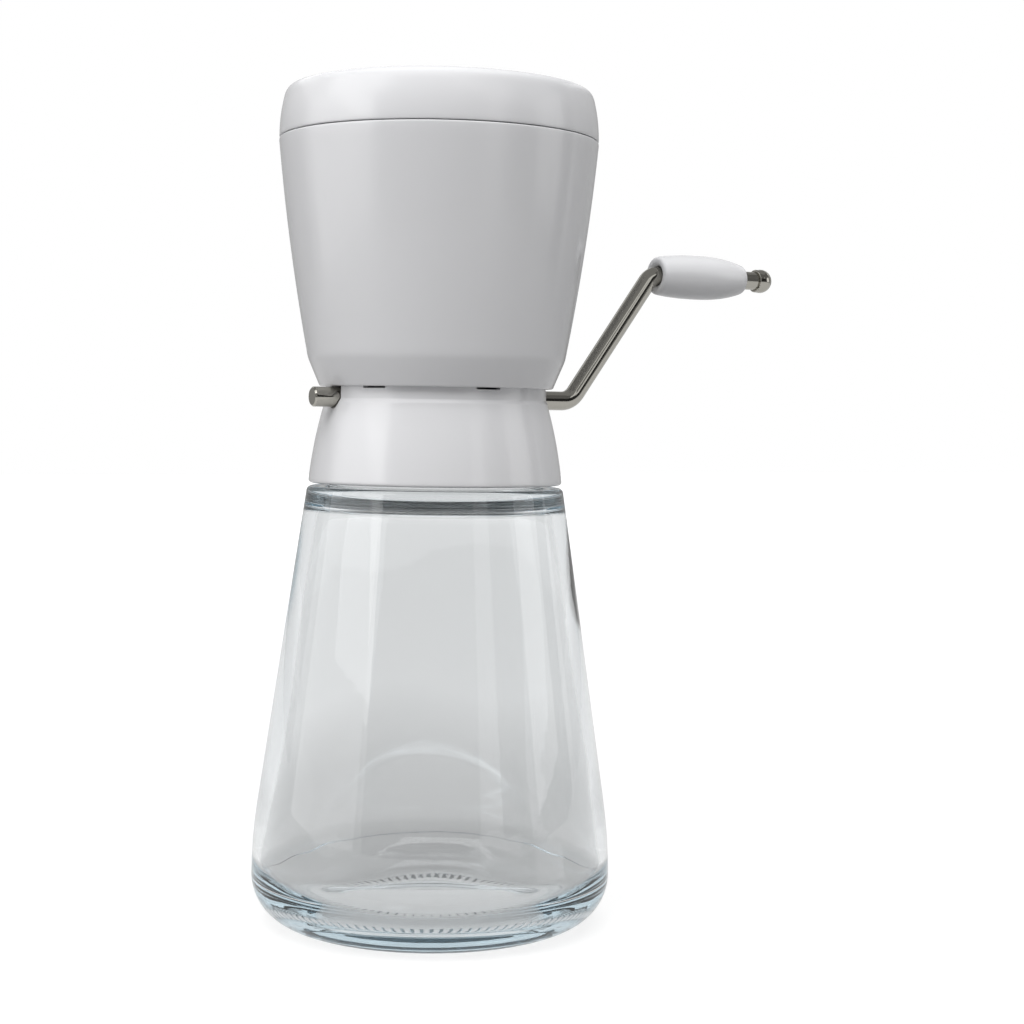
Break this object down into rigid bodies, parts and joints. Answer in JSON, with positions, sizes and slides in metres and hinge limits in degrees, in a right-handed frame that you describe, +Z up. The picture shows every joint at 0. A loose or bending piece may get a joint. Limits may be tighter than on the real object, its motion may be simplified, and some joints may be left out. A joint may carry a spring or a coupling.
{
  "type": "rotary nut grinder",
  "caption": "Hand-cranked rotary nut grinder: conical glass jar, white screw-on collar, hopper with a lift-off lid, and a bent steel crank with a barrel grip that turns star cutters.",
  "frame": {"origin": "centre of the jar's base, on the plane the jar stands on", "axes": "+Z up along the jar's axis, +X along the crank rod towards the grip"},
  "size_m": [0.1388, 0.085, 0.197],
  "materials": {
    "jar_glass": "clear pressed glass",
    "seal_rubber": "matt off-white rubber",
    "body_plastic": "gloss white moulded plastic",
    "comb_steel": "stamped stainless steel",
    "crank_nickel": "nickel-plated steel rod",
    "rotor_steel": "stamped stainless steel",
    "grip_plastic": "gloss white moulded plastic"
  },
  "bodies": {
    "jar": {"glass_jar": "jar_glass"},
    "seal": {"jar_seal": "seal_rubber"},
    "head": {"collar": "body_plastic", "coarse_comb": "comb_steel", "fine_comb": "comb_steel", "hopper": "body_plastic"},
    "lid": {"lid": "body_plastic"},
    "crank": {"crank_rod": "crank_nickel", "spacer_1": "rotor_steel", "star_1": "rotor_steel", "spacer_2": "rotor_steel", "star_2": "rotor_steel", "spacer_3": "rotor_steel", "star_3": "rotor_steel", "spacer_4": "rotor_steel", "star_4": "rotor_steel", "spacer_5": "rotor_steel", "star_5": "rotor_steel", "spacer_6": "rotor_steel", "grip_cap": "crank_nickel"},
    "grip": {"grip": "grip_plastic"}
  },
  "joints": [
    {"name": "seal_rise", "type": "slide", "parent": "jar", "child": "seal", "axis": [0, 0, 1], "range_m": [0, 0.007]},
    {"name": "collar_unscrew", "type": "hinge", "parent": "seal", "child": "head", "pos_m": [0, 0, 0.1], "axis": [0, 0, 1], "range_deg": [0, 630]},
    {"name": "lid_lift", "type": "slide", "parent": "head", "child": "lid", "axis": [0, 0, 1], "range_m": [0, 0.04]},
    {"name": "crank_turn", "type": "hinge", "parent": "head", "child": "crank", "pos_m": [0, 0, 0.124], "axis": [1, 0, 0], "continuous": true},
    {"name": "grip_spin", "type": "hinge", "parent": "crank", "child": "grip", "pos_m": [0.0742, 0, 0.1558], "axis": [1, 0, 0], "continuous": true}
  ],
  "couplings": [
    {"joint": "seal_rise", "follows": "collar_unscrew", "m_per_rad": 0.00063662}
  ]
}
